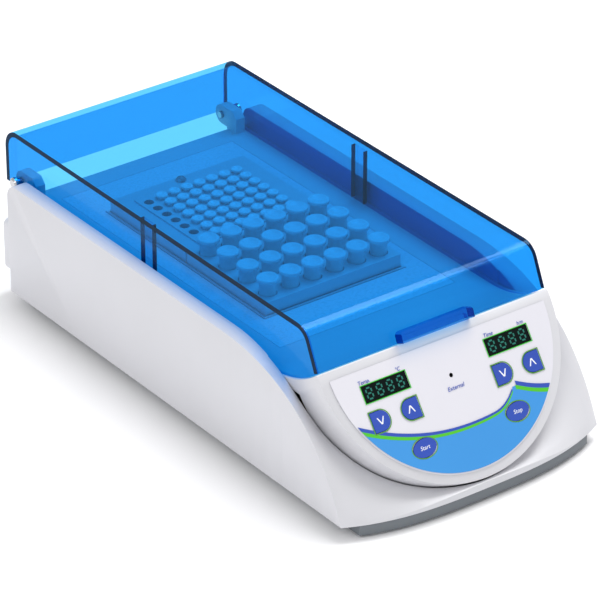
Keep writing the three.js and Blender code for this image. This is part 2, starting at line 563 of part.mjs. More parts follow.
// The sensor lies in a hole drilled into the tray's floor from the right.
const SENSOR = { radius: 1.9, hole: 2.3, end: 31, start: 58, z: TRAY_BOTTOM + 2.6, sides: 12 };
const sensorBar = (radius, x0, x1) =>
  barX(radius, x0, x1, BLOCKS_MIDDLE, SENSOR.z, SENSOR.sides);
const sensorHole = solid(sensorBar(SENSOR.hole, SENSOR.end - OVER, FAR));
add('well_tray', geometryOf(tray.subtract(sensorHole)), finish('aluminium', 0.35, 1));
add('temperature_sensor', sensorBar(SENSOR.radius, SENSOR.end, SENSOR.start),
  finish('steel', 0.3, 1));
const MAT = { half: 44, span: 74, thick: 2, gap: 0.1 };
const MAT_TOP = TRAY_BOTTOM - MAT.gap;
add('heater_mat', block(-MAT.half, MAT.half, BLOCKS_MIDDLE - MAT.span, BLOCKS_MIDDLE + MAT.span,
  MAT_TOP - MAT.thick, MAT_TOP), finish('heater', 0.7));
const FOAM = { half: 46, span: 76, bottom: TRAY_BOTTOM - 10, top: MAT_TOP - MAT.thick - 0.2 };
add('insulation_pad', block(-FOAM.half, FOAM.half, BLOCKS_MIDDLE - FOAM.span,
  BLOCKS_MIDDLE + FOAM.span, FOAM.bottom, FOAM.top), finish('foam', 0.95));
const CHEEK = { x: 58, thick: 7.8, top: 62, hole: 3 };
for (const [name, x0] of [['insulation_left', -CHEEK.x],
  ['insulation_right', CHEEK.x - CHEEK.thick]]) {
  const cut = solid(sensorBar(CHEEK.hole, BLOCK_WIDTH / 2, FAR));
  add(name, geometryOf(solid(block(x0, x0 + CHEEK.thick, BLOCKS_MIDDLE - MAT.span,
    BLOCKS_MIDDLE + MAT.span, TRAY_BOTTOM, CHEEK.top)).subtract(cut)), finish('foam', 0.95));
}
const CUTOUT = { radius: 8, thick: 5, x: -64, z: 38 };
add('thermal_cutout', barX(CUTOUT.radius, CUTOUT.x, CUTOUT.x + CUTOUT.thick, BLOCKS_MIDDLE,
  CUTOUT.z), finish('black', 0.5));

// A grid of round wells, drilled down to one height.
function wells(radius, sides, columns, rows, pitchX, pitchY, middle, bottom) {
  const holes = [];
  for (let i = 0; i < columns; i += 1) {
    for (let j = 0; j < rows; j += 1) {
      holes.push(solid(rod(radius, FAR - bottom, sides).translate((i - (columns - 1) / 2) * pitchX,
        depth(middle + (j - (rows - 1) / 2) * pitchY), bottom)));
    }
  }
  return holes;
}
const rearBlockFront = BLOCKS_MIDDLE - BLOCK_GAP / 2;
const frontBlockRear = BLOCKS_MIDDLE + BLOCK_GAP / 2;
const half = BLOCK_WIDTH / 2;
const TUBE_WELLS = { sides: 12, columns: 6, rows: 4, bottom: BLOCK_TOP - 36 };
const frontBlock = cutAll(
  solid(block(-half, half, frontBlockRear, frontBlockRear + BLOCK_DEPTH, BLOCK_BOTTOM, BLOCK_TOP)),
  wells(TUBE_WELL, TUBE_WELLS.sides, TUBE_WELLS.columns, TUBE_WELLS.rows, TUBE_PITCH_X,
    TUBE_PITCH_Y, frontBlockRear + BLOCK_DEPTH / 2, TUBE_WELLS.bottom));
add('block_front', geometryOf(frontBlock), finish('aluminium', 0.35, 1));
// The raised middle of the rear block, which carries the small wells.
const PAD = { half: 37, rear: 54.5, front: 120.6, rise: 0.8, root: 5 };
const STRIP_WELLS = { sides: 8, columns: 8, rows: 7, middle: 88.7, bottom: BLOCK_TOP - 17 };
const SCREW = { x: 0, depth: 49.2, hole: 2, bottom: BLOCK_TOP - 12 };
const rearBlock = cutAll(
  solid(block(-half, half, rearBlockFront - BLOCK_DEPTH, rearBlockFront, BLOCK_BOTTOM,
    BLOCK_TOP - PAD.rise)).add(solid(block(-PAD.half, PAD.half, PAD.rear, PAD.front,
    BLOCK_TOP - PAD.root, BLOCK_TOP))),
  [...wells(STRIP_WELL, STRIP_WELLS.sides, STRIP_WELLS.columns, STRIP_WELLS.rows, STRIP_PITCH,
    STRIP_PITCH, STRIP_WELLS.middle, STRIP_WELLS.bottom),
  ...wells(SCREW.hole, TUBE_WELLS.sides, 1, 1, 0, 0, SCREW.depth, SCREW.bottom)]);
add('block_rear', geometryOf(rearBlock), finish('aluminium', 0.35, 1));
const SHANK = { radius: 1.7, foot: -8, head: 0.1 };
const crown = [[3.3, SHANK.head], [3.1, 1], [2.2, 1.9], [0, 2.4]];   // a low domed head
const screw = lathe([[0, SHANK.foot], [SHANK.radius, SHANK.foot], [SHANK.radius, SHANK.head],
  ...crown]);
add('block_lifting_screw', screw.rotateX(Math.PI / 2), finish('steel', 0.2, 1))
  .position.set(SCREW.x, depth(SCREW.depth), BLOCK_TOP - PAD.rise + GLUE);

// ---------------------------------------------------------------- control panel
const panel = new THREE.Group();
panel.rotation.x = PANEL_TILT;
panel.position.set(0, depth(PANEL_DEPTH), PANEL_Z);
object.add(panel);

// A half round below one line of the panel.
function halfRound(radius, edge) {
  const shape = new THREE.Shape();
  shape.moveTo(-radius, -edge);
  shape.absarc(0, -edge, radius, Math.PI, 2 * Math.PI);
  return shape;
}
const OVERLAY = { radius: 74.3, edge: 0.6, thick: 0.5, lift: 0.3, fit: 0.1 };
const overlayBody = plate(halfRound(OVERLAY.radius, OVERLAY.edge), OVERLAY.thick, 48);
const overlay = cutAll(solid(overlayBody.translate(0, 0, OVERLAY.lift)), [
  ...KEYS.map(({ x, row, kind }) => solid(plate(keyShape(kind, SLACK), THROUGH, 10)
    .translate(x, -row, -THROUGH / 2))),
  solid(rod(JACK.bore + OVERLAY.fit, THROUGH).translate(0, -JACK_ROW, -THROUGH / 2)),
  ...[-1, 1].map((side) =>
    solid(displayHole(4 * OVERLAY.fit).translate(side * DISPLAY_X, -DISPLAY_ROW, 0))),
]);
add('panel_overlay', geometryOf(overlay), finish('overlay', 0.35), panel);

const KEY = { foot: -6.4, top: OVERLAY.lift + OVERLAY.thick + 0.5 };
for (const { name, x, row, kind } of KEYS) {
  const cap = plate(keyShape(kind), KEY.top - KEY.foot, 10).translate(x, -row, KEY.foot);
  add(name, cap, finish('blue', 0.35), panel);
}
const DISPLAY_BODY = { thick: 9.2, middle: -4 };   // the displays' bodies, square to the panel
for (const [name, side] of [['display_temp', -1], ['display_time', 1]]) {
  const face = new THREE.BoxGeometry(DISPLAY[0], DISPLAY[1], DISPLAY_BODY.thick)
    .translate(side * DISPLAY_X, -DISPLAY_ROW, DISPLAY_BODY.middle);
  add(name, face, finish('glass', 0.2), panel);
}
const jack = solid(rod(JACK.radius, JACK.top - JACK.foot).translate(0, -JACK_ROW, JACK.foot))
  .subtract(solid(rod(JACK.bore, FAR, 16).translate(0, -JACK_ROW, JACK.floor)));
add('probe_jack', geometryOf(jack), finish('black', 0.4), panel);
const BOARD = { top: -9, thick: 1.6, radius: 68, edge: 3 };
const boardShape = halfRound(BOARD.radius, BOARD.edge);
add('control_board', plate(boardShape, BOARD.thick, 32).translate(0, 0, BOARD.top - BOARD.thick),
  finish('board', 0.6), panel);

const SUPPLY = { half: 62, z: 16, f0: 222, f1: 292 };
add('power_board', block(-SUPPLY.half, SUPPLY.half, SUPPLY.f0, SUPPLY.f1, SUPPLY.z,
  SUPPLY.z + BOARD.thick), finish('board', 0.6));
// What stands on the power board, as [name, x0, x1, f0, f1, height above the board's underside].
for (const [name, x0, x1, f0, f1, height, colour] of [
  ['transformer', -50, -12, 232, 266, 29, 'copper'],
  ['heater_relay', 14, 34, 236, 252, 17, 'black'],
]) {
  add(name, block(x0, x1, f0, f1, SUPPLY.z + BOARD.thick + 2 * GLUE, SUPPLY.z + height),
    finish(colour, 0.5));
}

export default object;
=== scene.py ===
"""A compact dry block heater with a hinged tinted lid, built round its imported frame."""

import math

import bmesh
import bpy
import numpy as np
from bpy.props import FloatProperty, FloatVectorProperty, PointerProperty
from mathutils import Matrix, Vector


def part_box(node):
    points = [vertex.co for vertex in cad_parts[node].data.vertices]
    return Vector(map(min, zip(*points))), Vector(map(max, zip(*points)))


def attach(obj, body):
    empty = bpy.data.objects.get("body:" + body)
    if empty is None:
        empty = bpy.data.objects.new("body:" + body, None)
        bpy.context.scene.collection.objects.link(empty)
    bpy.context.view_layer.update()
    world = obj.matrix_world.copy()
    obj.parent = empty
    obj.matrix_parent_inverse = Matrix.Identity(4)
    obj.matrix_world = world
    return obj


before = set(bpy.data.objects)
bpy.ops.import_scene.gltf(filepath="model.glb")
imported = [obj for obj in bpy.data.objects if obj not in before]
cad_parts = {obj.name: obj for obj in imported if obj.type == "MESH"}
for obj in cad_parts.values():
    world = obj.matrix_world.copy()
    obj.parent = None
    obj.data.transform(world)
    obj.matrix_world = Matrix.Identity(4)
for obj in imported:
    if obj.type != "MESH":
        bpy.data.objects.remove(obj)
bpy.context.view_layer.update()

bl_info = {
    "name": "Dry Block Heater",
    "version": (1, 0, 0),
    "blender": (4, 5, 0),
    "location": "View3D > Sidebar > Heater",
    "description": "Finishes, tubes, panel print and studio for a dry block heater",
    "category": "Object",
}

MM = 0.001
TAU = 2 * math.pi

# The heater's own layout, in millimetres on the tilted panel or over a block's top.
PANEL_TILT = math.radians(54.3)
OVERLAY_TOP = 0.5  # how thick the overlay is
OVERLAY_FACE = 0.8  # height of its face over the panel's datum
OVERLAY_MARGIN = 0.5  # white edge round the print
PRINT_THICK = 0.05
TUBE_PITCH = (15.64, 19.05)
TUBE_GRID = (6, 4)
STRIP_PITCH = 9.0
STRIP_GRID = (8, 7)
STRIP_MIDDLE = 88.7
HOUSING_REAR = 161.65
DIGITS = 4
NOTCH = 34.5  # where the left bands end
RIGHT_START = 37.5  # where the right bands start
RIGHT_DARK = 2.6  # width of the right dark band
RIGHT_BOTH = 5.0  # width of both right bands
FIELD_LAP = 2.8  # how far the field's top lies under the right bands' top
KEY_HALF = 5.7
KEY_OVAL = (7.8, 5.1)
KEY_HOLE = 0.35  # gap between a key and the print round it
KEY_RIM = 0.9  # outer edge of the green rim round a key
WORD_SHEAR = 0.2
FRAME_WIDTH = 0.45  # of the green frame round a display

# Finish constants.
DRIFT_SCALE = 14.0  # slow change of colour over a moulding, about 70 mm across
RELIEF_DEPTH = 0.0001
ROUGHNESS_SPREAD = 0.05
MIRROR_SHARE = (0.028, 0.4)  # of the acrylic's polish, face on and edge on
POLISH = (0.02, 0.06)
MILK_MOST = 0.9  # share of the milky body at a tube's rims
CORNER_ANGLE = math.radians(35)
WELD_GAP = 1e-5

STEPS = ("shell", "lid", "tubes", "panel", "keys", "displays", "studio")
KEYS = ("key_temp_down", "key_temp_up", "key_time_down", "key_time_up", "key_start", "key_stop")


def key_body(node):
    """The body that carries a key: its node's name without the first word."""
    return node.replace("key_", "")


def middle(node):
    """Centre of a CAD node's box, in millimetres."""
    low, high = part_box(node)
    return np.array((low + high) / 2) / MM


# ------------------------------------------------------------------ the panel's own axes
ACROSS = np.array([1.0, 0.0, 0.0])
UP_SLOPE = np.array([0.0, math.cos(PANEL_TILT), math.sin(PANEL_TILT)])
OUTWARD = np.array([0.0, -math.sin(PANEL_TILT), math.cos(PANEL_TILT)])


def panel_origin():
    """Middle of the panel's top edge, from the overlay's box: its lowest point is the foot of the
    half round and its highest the straight edge, both on the outer face or the back."""
    low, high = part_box("panel_overlay")
    radius = (high.x - low.x) / 2 / MM
    y = low.y / MM + radius * UP_SLOPE[1] - OVERLAY_FACE * OUTWARD[1]
    z = high.z / MM + OVERLAY_TOP * UP_SLOPE[2] - OVERLAY_FACE * OUTWARD[2]
    return np.array([0.0, y, z]), radius


PANEL_O, OVERLAY_RADIUS = panel_origin()


def on_panel(points):
    """Rows of (across, down the slope, out of the panel) in mm, as rows of x, y, z in metres."""
    points = np.asarray(points, float)
    place = (PANEL_O + points[..., :1] * ACROSS - points[..., 1:2] * UP_SLOPE
             + points[..., 2:3] * OUTWARD)
    return place * MM


def node_points(name):
    """A CAD node's vertices as rows, in metres."""
    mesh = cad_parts[name].data
    flat = np.empty(len(mesh.vertices) * 3)
    mesh.vertices.foreach_get("co", flat)
    return flat.reshape(-1, 3)


def panel_spot(node):
    """(across, down the slope, out) of a CAD node's middle."""
    offset = middle(node) - PANEL_O
    return np.array([offset @ ACROSS, -(offset @ UP_SLOPE), offset @ OUTWARD])


# ------------------------------------------------------------------ meshes
def mesh_object(name, vertices, faces, smooth=False):
    """An object at the origin with these vertices, in metres, and its faces turned outward."""
    mesh = bpy.data.meshes.new(name)
    mesh.from_pydata(np.asarray(vertices).reshape(-1, 3).tolist(), [], faces)
    work = bmesh.new()
    work.from_mesh(mesh)
    bmesh.ops.recalc_face_normals(work, faces=work.faces)
    work.to_mesh(mesh)
    work.free()
    mesh.polygons.foreach_set("use_smooth", np.full(len(mesh.polygons), smooth))
    piece = bpy.data.objects.new(name, mesh)
    bpy.context.scene.collection.objects.link(piece)
    return piece


def turned(profile, segments):
    """A lathe: each (radius, height) of profile swept round z at equal angles. The profile's first
    and last points lie on the axis and become single poles."""
    profile = np.asarray(profile, float)
    angle = np.linspace(0, TAU, segments, endpoint=False)
    ring, height = profile[1:-1, 0], profile[1:-1, 1]
    x = np.outer(ring, np.cos(angle))
    y = np.outer(ring, np.sin(angle))
    z = np.repeat(height[:, None], segments, 1)
    rings = np.stack([x, y, z], -1).reshape(-1, 3)
    poles = np.array([[0, 0, profile[0, 1]], [0, 0, profile[-1, 1]]])
    rows, index = len(ring), np.arange(segments)
    after = (index + 1) % segments
    base = np.arange(rows - 1)[:, None] * segments
    quads = np.stack([base + index, base + after, base + segments + after,
                      base + segments + index], -1).reshape(-1, 4)
    first = np.stack([np.full(segments, rows * segments), after, index], -1)
    end = (rows - 1) * segments
    last = np.stack([np.full(segments, rows * segments + 1), end + index, end + after], -1)
    return np.vstack([rings, poles]), quads.tolist() + first.tolist() + last.tolist()


def repeated(vertices, faces, places):
    """Copies of one shape moved to each row of places, as one set of vertices and faces."""
    places = np.asarray(places, float)
    every = (vertices[None] + places[:, None]).reshape(-1, 3)
    count = len(vertices)
    return every, [[corner + k * count for corner in face]
                   for k in range(len(places)) for face in faces]


def slab(outline, base, thick):
    """A flat plate on the panel: the closed outline (across, down) at height base and again at
    base + thick, with one face on each and a quad along each side."""
    outline = np.asarray(outline, float)
    count = len(outline)
    levels = [np.column_stack([outline, np.full(count, level)]) for level in (base, base + thick)]
    index = np.arange(count)
    after = (index + 1) % count
    sides = np.stack([index, after, after + count, index + count], -1).tolist()
    return on_panel(np.vstack(levels)), [index[::-1].tolist(), (index + count).tolist()] + sides


def ribbon(upper, lower, across, base, thick):
    """A strip on the panel between two curves, both functions of across: a slab whose outline runs
    out along the upper one and back along the lower one."""
    out = np.column_stack([across, upper(across)])
    back = np.column_stack([across, lower(across)])[::-1]
    return slab(np.vstack([out, back]), base, thick)


def joined(parts):
    """Several (vertices, faces) sets as one."""
    vertices, faces, start = [], [], 0
    for part_vertices, part_faces in parts:
        vertices.append(part_vertices)
        faces += [[corner + start for corner in face] for face in part_faces]
        start += len(part_vertices)
    return np.vstack(vertices), faces


# ------------------------------------------------------------------ materials
def linear(code, alpha=1.0):
    """An sRGB hex colour as linear values: the power curve above the small straight foot."""
    code = code.lstrip("#")
    parts = np.array([int(code[i:i + 2], 16) / 255 for i in (0, 2, 4)])
    value = np.where(parts <= 0.04045, parts / 12.92, ((parts + 0.055) / 1.055) ** 2.4)
    return (*value.tolist(), alpha)


def node(tree, kind, settings=None, **links):
    """Adds a node. settings are its attributes, and its input values by name; links are sockets
    wired into the inputs of those names, with _ for a space."""
    made = tree.nodes.new(kind)
    for name, value in (settings or {}).items():
        if name in made.inputs:
            made.inputs[name].default_value = value
        else:
            setattr(made, name, value)
    for name, socket in links.items():
        tree.links.new(socket, made.inputs[name.replace("_", " ")])
    return made


def start_material(name):
    """A new material with a shader and an output, and its tree."""
    material = bpy.data.materials.new(name)
    material.use_nodes = True
    tree = material.node_tree
    return material, tree, tree.nodes["Principled BSDF"]


def grained(name, colour, shade, roughness, grain_mm, bump, metallic=0.0, stretch=(1, 1, 1)):
    """A solid finish whose colour drifts between two near shades, with fine relief of a real grain."""
    material, tree, shader = start_material(name)
    where = node(tree, "ShaderNodeTexCoord")
    placed = node(tree, "ShaderNodeMapping", {"Scale": stretch}, Vector=where.outputs["Object"])
    cloud = node(tree, "ShaderNodeTexNoise", {"Scale": DRIFT_SCALE, "Detail": 3.0},
                 Vector=placed.outputs["Vector"])
    tint = node(tree, "ShaderNodeMix", {"data_type": "RGBA"})
    tint.inputs[6].default_value = linear(colour)
    tint.inputs[7].default_value = linear(shade)
    tree.links.new(cloud.outputs["Fac"], tint.inputs[0])
    tree.links.new(tint.outputs[2], shader.inputs["Base Color"])
    grain = node(tree, "ShaderNodeTexNoise", {"Scale": 1 / (grain_mm * MM), "Detail": 2.0},
                 Vector=placed.outputs["Vector"])
    relief = node(tree, "ShaderNodeBump", {"Strength": bump, "Distance": RELIEF_DEPTH},
                  Height=grain.outputs["Fac"])
    tree.links.new(relief.outputs["Normal"], shader.inputs["Normal"])
    spread = node(tree, "ShaderNodeMapRange",
                  {"To Min": max(roughness - ROUGHNESS_SPREAD, POLISH[0]),
                   "To Max": roughness + ROUGHNESS_SPREAD},
                  Value=grain.outputs["Fac"])
    tree.links.new(spread.outputs["Result"], shader.inputs["Roughness"])
    shader.inputs["Metallic"].default_value = metallic
    return material


def acrylic(name, through, edge, axis, centre, low, high):
    """Cast acrylic sheet: a tinted clear body that mirrors more at a grazing angle. Its sawn edges,
    between low and high from centre along axis, take the nearly black colour edge: a painted shade for
    the light that does not come out through them."""
    material, tree, shader = start_material(name)
    output = tree.nodes["Material Output"]
    where = node(tree, "ShaderNodeTexCoord")
    axes = node(tree, "ShaderNodeSeparateXYZ", Vector=where.outputs["Object"])
    offset = node(tree, "ShaderNodeMath", {"operation": "SUBTRACT"})
    offset.inputs[1].default_value = centre
    tree.links.new(axes.outputs[axis], offset.inputs[0])
    side = node(tree, "ShaderNodeMath", {"operation": "ABSOLUTE"})
    tree.links.new(offset.outputs[0], side.inputs[0])
    sawn = node(tree, "ShaderNodeMapRange", {"From Min": low, "From Max": high},
                Value=side.outputs[0])
    haze = node(tree, "ShaderNodeTexNoise", {"Scale": 18.0, "Detail": 2.0},
                Vector=where.outputs["Object"])
    gloss = node(tree, "ShaderNodeMapRange", {"To Min": POLISH[0], "To Max": POLISH[1]},
                 Value=haze.outputs["Fac"])
    tree.links.new(gloss.outputs["Result"], shader.inputs["Roughness"])
    # Painted shade: the light let through turns to the dark edge colour at the sawn edges.
    tint = node(tree, "ShaderNodeMix", {"data_type": "RGBA"})
    tint.inputs[6].default_value = linear(through)
    tint.inputs[7].default_value = linear(edge)
    tree.links.new(sawn.outputs["Result"], tint.inputs[0])
    clear = node(tree, "ShaderNodeBsdfTransparent", Color=tint.outputs[2])
    # The polish mirrors like a metal, and the mix below keeps that to a few per cent. What it mirrors
    # is seen over the sheet's own blue, so it is tinted.
    shader.inputs["Base Color"].default_value = linear("#a4d4ff")
    shader.inputs["Metallic"].default_value = 1.0
    # The mirror's share grows with the fourth power of how edge-on a face lies, alike on both faces.
    slant = node(tree, "ShaderNodeLayerWeight", {"Blend": 0.5})
    steep = node(tree, "ShaderNodeMath", {"operation": "POWER"})
    steep.inputs[1].default_value = 4.0
    tree.links.new(slant.outputs["Facing"], steep.inputs[0])
    body = node(tree, "ShaderNodeMapRange",
                {"To Min": MIRROR_SHARE[0], "To Max": MIRROR_SHARE[1]}, Value=steep.outputs[0])
    both = node(tree, "ShaderNodeMixShader")
    tree.links.new(body.outputs["Result"], both.inputs[0])
    tree.links.new(clear.outputs["BSDF"], both.inputs[1])
    tree.links.new(shader.outputs["BSDF"], both.inputs[2])
    tree.links.new(both.outputs["Shader"], output.inputs["Surface"])
    return material


def clear_polypropylene(name, least):
    """Moulded polypropylene tubes: nearly clear, with a milky body that shows at the rims."""
    material, tree, shader = start_material(name)
    output = tree.nodes["Material Output"]
    where = node(tree, "ShaderNodeTexCoord")
    cloud = node(tree, "ShaderNodeTexNoise", {"Scale": 400.0}, Vector=where.outputs["Object"])
    milk = node(tree, "ShaderNodeMapRange", {"To Min": 0.25, "To Max": 0.45},
                Value=cloud.outputs["Fac"])
    tree.links.new(milk.outputs["Result"], shader.inputs["Roughness"])
    shader.inputs["Base Color"].default_value = linear("#f3f6f8")
    rim = node(tree, "ShaderNodeLayerWeight", {"Blend": 0.45})
    share = node(tree, "ShaderNodeMapRange", {"To Min": least, "To Max": MILK_MOST},
                 Value=rim.outputs["Facing"])
    clear = node(tree, "ShaderNodeBsdfTransparent", {"Color": linear("#eef4f8")})
    both = node(tree, "ShaderNodeMixShader")
    tree.links.new(share.outputs["Result"], both.inputs[0])
    tree.links.new(clear.outputs["BSDF"], both.inputs[1])
    tree.links.new(shader.outputs["BSDF"], both.inputs[2])
    tree.links.new(both.outputs["Shader"], output.inputs["Surface"])
    return material


def paint(material, *names):
    """Gives CAD nodes a finish."""
    for name in names:
        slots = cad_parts[name].data.materials
        slots.clear()
        slots.append(material)


def soften(width_mm, *names):
    """Rounds a moulded part's corners: its loose triangles are welded, then bevelled and smoothed."""
    for name in names:
        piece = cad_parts[name]
        weld = piece.modifiers.new("weld", "WELD")
        weld.merge_threshold = WELD_GAP
        bevel = piece.modifiers.new("corners", "BEVEL")
        bevel.width = width_mm * MM
        bevel.segments = 2
        bevel.limit_method = "ANGLE"
        bevel.angle_limit = CORNER_ANGLE
        bevel.use_clamp_overlap = True
        bevel.harden_normals = True
        piece.data.polygons.foreach_set("use_smooth", np.ones(len(piece.data.polygons), bool))


# ------------------------------------------------------------------ properties
class HeaterColours(bpy.types.PropertyGroup):
    """Colours that a user would change."""
    shell: FloatVectorProperty(name="Shell", description="Moulded shell", subtype="COLOR",
                               size=4, min=0, max=1, default=linear("#cbcbcf"))
    lid: FloatVectorProperty(name="Lid", description="Light let through one face of the lid",
                             subtype="COLOR", size=4, min=0, max=1, default=linear("#98ddf8"))


class HeaterSizes(bpy.types.PropertyGroup):
    """Sizes that a user would change."""
    cap: FloatProperty(name="Tube cap", description="Diameter of a large tube's cap", unit="LENGTH",
                       default=13.0 * MM)
    strip_cap: FloatProperty(name="Strip cap", description="Diameter of a small tube's cap",
                             unit="LENGTH", default=7.4 * MM)
    band: FloatProperty(name="Band", description="Width of the printed dark band", unit="LENGTH",
                        default=2.3 * MM)


def hex_of(colour):
    """A linear colour as an sRGB hex, so that one function turns every colour to linear."""
    value = np.clip(np.array(colour[:3]), 0, 1)
    coded = np.where(value <= 0.0031308, value * 12.92, 1.055 * value ** (1 / 2.4) - 0.055)
    return "#" + "".join(f"{round(part * 255):02x}" for part in coded)


# ------------------------------------------------------------------ operators
class HEATER_OT_shell(bpy.types.Operator):
    """Finishes the moulded shell, the base, the rear box and what is inside"""
    bl_idname = "heater.shell"
    bl_label = "Shell and insides"

    def execute(self, context):
        shell = hex_of(context.scene.heater_colours.shell)
        # Injection-moulded ABS with a fine spark-eroded texture: soft highlights, no mirror.
        abs_white = grained("moulded_abs_white", shell, "#d3d3d8", 0.42, 0.8, 0.06)
        paint(abs_white, "outer_housing", "top_shell", "rear_box")
        # Stoved enamel on sheet steel: smoother and a little glossier than the shell.
        paint(grained("stoved_enamel_white", "#dfe1e6", "#d8dbe1", 0.28, 1.6, 0.03), "insert_plate")
        # Moulded ABS, dark grey, with the same texture.
        paint(grained("moulded_abs_grey", "#6d7378", "#63696f", 0.5, 0.8, 0.08), "base_tray")
        # Moulded nitrile rubber: matt, with a dusty bloom.
        paint(grained("nitrile_rubber", "#1b1b1d", "#242426", 0.85, 0.5, 0.2),
              "foot_rear_left", "foot_rear_right", "foot_front_left", "foot_front_right")
        # Moulded nylon, black.
        paint(grained("moulded_nylon_black", "#141517", "#1b1c1f", 0.42, 0.5, 0.08),
              "power_inlet", "fuse_drawer", "switch_frame", "probe_jack", "thermal_cutout",
              "heater_relay")
        paint(grained("polished_nylon_black", "#101113", "#15161a", 0.2, 0.8, 0.02), "power_switch")
        # Nickel plate over brass or steel.
        paint(grained("nickel_plate", "#c9cacc", "#bdbec1", 0.22, 0.3, 0.03, 1.0),
              "inlet_pin_line", "inlet_pin_neutral", "inlet_pin_earth", "hinge_pin_left",
              "hinge_pin_right", "temperature_sensor", "block_lifting_screw")
        # Milled, satin anodised aluminium: tool marks run across the block.
        paint(grained("anodised_aluminium", "#dcdee2", "#ced1d6", 0.45, 0.4, 0.1, 0.55, (1, 8, 1)),
              "block_front", "block_rear", "well_tray")
        # Vulcanised silicone heater mat.
        paint(grained("silicone_mat", "#9a4a2c", "#8b4026", 0.7, 0.8, 0.2), "heater_mat")
        # Needled glass-fibre felt.
        paint(grained("glass_fibre_felt", "#d8d3c6", "#c4beb0", 0.95, 0.3, 0.8),
              "insulation_pad", "insulation_left", "insulation_right")
        # Glass-epoxy board under green lacquer.
        paint(grained("lacquered_board", "#1f6b45", "#1a5c3b", 0.35, 0.4, 0.05),
              "control_board", "power_board")
        # Varnished steel laminations, edge on.
        paint(grained("varnished_laminations", "#8a6a3c", "#6f5430", 0.4, 0.35, 0.3, 0.4,
                      (1, 1, 12)), "transformer")
        soften(0.6, "outer_housing", "top_shell", "rear_box", "base_tray")
        return {"FINISHED"}


class HEATER_OT_lid(bpy.types.Operator):
    """Finishes the bent acrylic lid, its sides, ribs and grip"""
    bl_idname = "heater.lid"
    bl_label = "Lid"

    def execute(self, context):
        through = hex_of(context.scene.heater_colours.lid)
        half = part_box("lid_sheet")[1].x
        # Painted shade for the sawn edges, where light through the sheet does not come out: a
        # near-black blue.
        ink_and_edge_shade = "#031028"
        sheet = acrylic("cast_acrylic_blue", through, ink_and_edge_shade, "X", 0, half - 0.3 * MM, half - 0.1 * MM)
        paint(sheet, "lid_sheet")
        # The sides have no sawn edge across the width, so the mask is put past them.
        paint(acrylic("cast_acrylic_side", through, ink_and_edge_shade, "X", 0, half + MM, half + 2 * MM),
              "lid_side_left", "lid_side_right")
        # Ribs and grip are glued on, and only their ends along the lid or the width get the painted
        # edge shade, the grip's a mid blue.
        low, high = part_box("lid_rib_left")
        centre, reach = (low.y + high.y) / 2, (high.y - low.y) / 2
        paint(acrylic("cast_acrylic_rib", "#e4f5fd", ink_and_edge_shade, "Y", centre, reach - 0.7 * MM,
                      reach - 0.4 * MM), "lid_rib_left", "lid_rib_right")
        low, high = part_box("lid_grip")
        paint(acrylic("cast_acrylic_grip", "#b4dcf8", "#2f6fb8", "X", 0, high.x - 0.5 * MM,
                      high.x - 0.2 * MM), "lid_grip")
        return {"FINISHED"}


def tube_profile(cap_radius, rise, bore, depth, lip):
    """Half section of a capped tube from its conical tip up: a tapered body, a shoulder, a short neck
    and a cap with a rounded edge and a shallow dish."""
    return [(0, -depth), (bore * 0.35, -depth + 0.6), (bore * 0.9, -depth * 0.4), (bore, 0.3),
            (bore, rise - lip), (cap_radius, rise - lip), (cap_radius, rise - 0.5),
            (cap_radius - 0.4, rise), (cap_radius - 1.6, rise), (cap_radius - 2.0, rise - 0.5),
            (0, rise - 0.5)]


class HEATER_OT_tubes(bpy.types.Operator):
    """Makes the capped tubes that stand in the two blocks"""
    bl_idname = "heater.tubes"
    bl_label = "Sample tubes"

    def execute(self, context):
        sizes = context.scene.heater_sizes
        plastic = clear_polypropylene("moulded_polypropylene", 0.62)
        # Thin caps on the small tubes lie closer to the block and look milkier.
        strip_plastic = clear_polypropylene("moulded_polypropylene_strip", 0.75)
        tall = tube_profile(sizes.cap / 2 / MM, rise=10.0, bore=5.0, depth=32.0, lip=2.2)
        small = tube_profile(sizes.strip_cap / 2 / MM, rise=2.6, bore=2.7, depth=14.0, lip=1.2)
        self.rack("tubes_front", "block_front", "front_block", turned(tall, 28), TUBE_PITCH,
                  TUBE_GRID, middle("block_front")[1], 0, plastic)
        self.rack("tubes_rear", "block_rear", "rear_block", turned(small, 14),
                  (STRIP_PITCH, STRIP_PITCH), STRIP_GRID, HOUSING_REAR - STRIP_MIDDLE, 1,
                  strip_plastic)
        return {"FINISHED"}

    def rack(self, name, block, body, tube, pitch, grid, centre, skip, plastic):
        """Tubes on a grid about the block's centre, leaving skip columns empty on the left."""
        shape, faces = tube
        column = (np.arange(skip, grid[0]) - (grid[0] - 1) / 2) * pitch[0]
        row = (np.arange(grid[1]) - (grid[1] - 1) / 2) * pitch[1] + centre
        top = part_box(block)[1].z / MM
        x, y = np.meshgrid(column, row)
        places = np.column_stack([x.ravel(), y.ravel(), np.full(x.size, top)])
        vertices, every = repeated(shape, faces, places)
        piece = mesh_object(name, vertices * MM, every, True)
        piece.data.materials.append(plastic)
        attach(piece, body)


def film(name, colour, shade, roughness=0.35):
    """Screen-printed ink under a clear polyester film: even colour with a fine orange peel."""
    return grained(name, colour, shade, roughness, 0.9, 0.02)


def key_form(name):
    """Whether a key is an oval one, and which way its square side points."""
    return name in ("key_start", "key_stop"), 1 if name.endswith("down") else -1


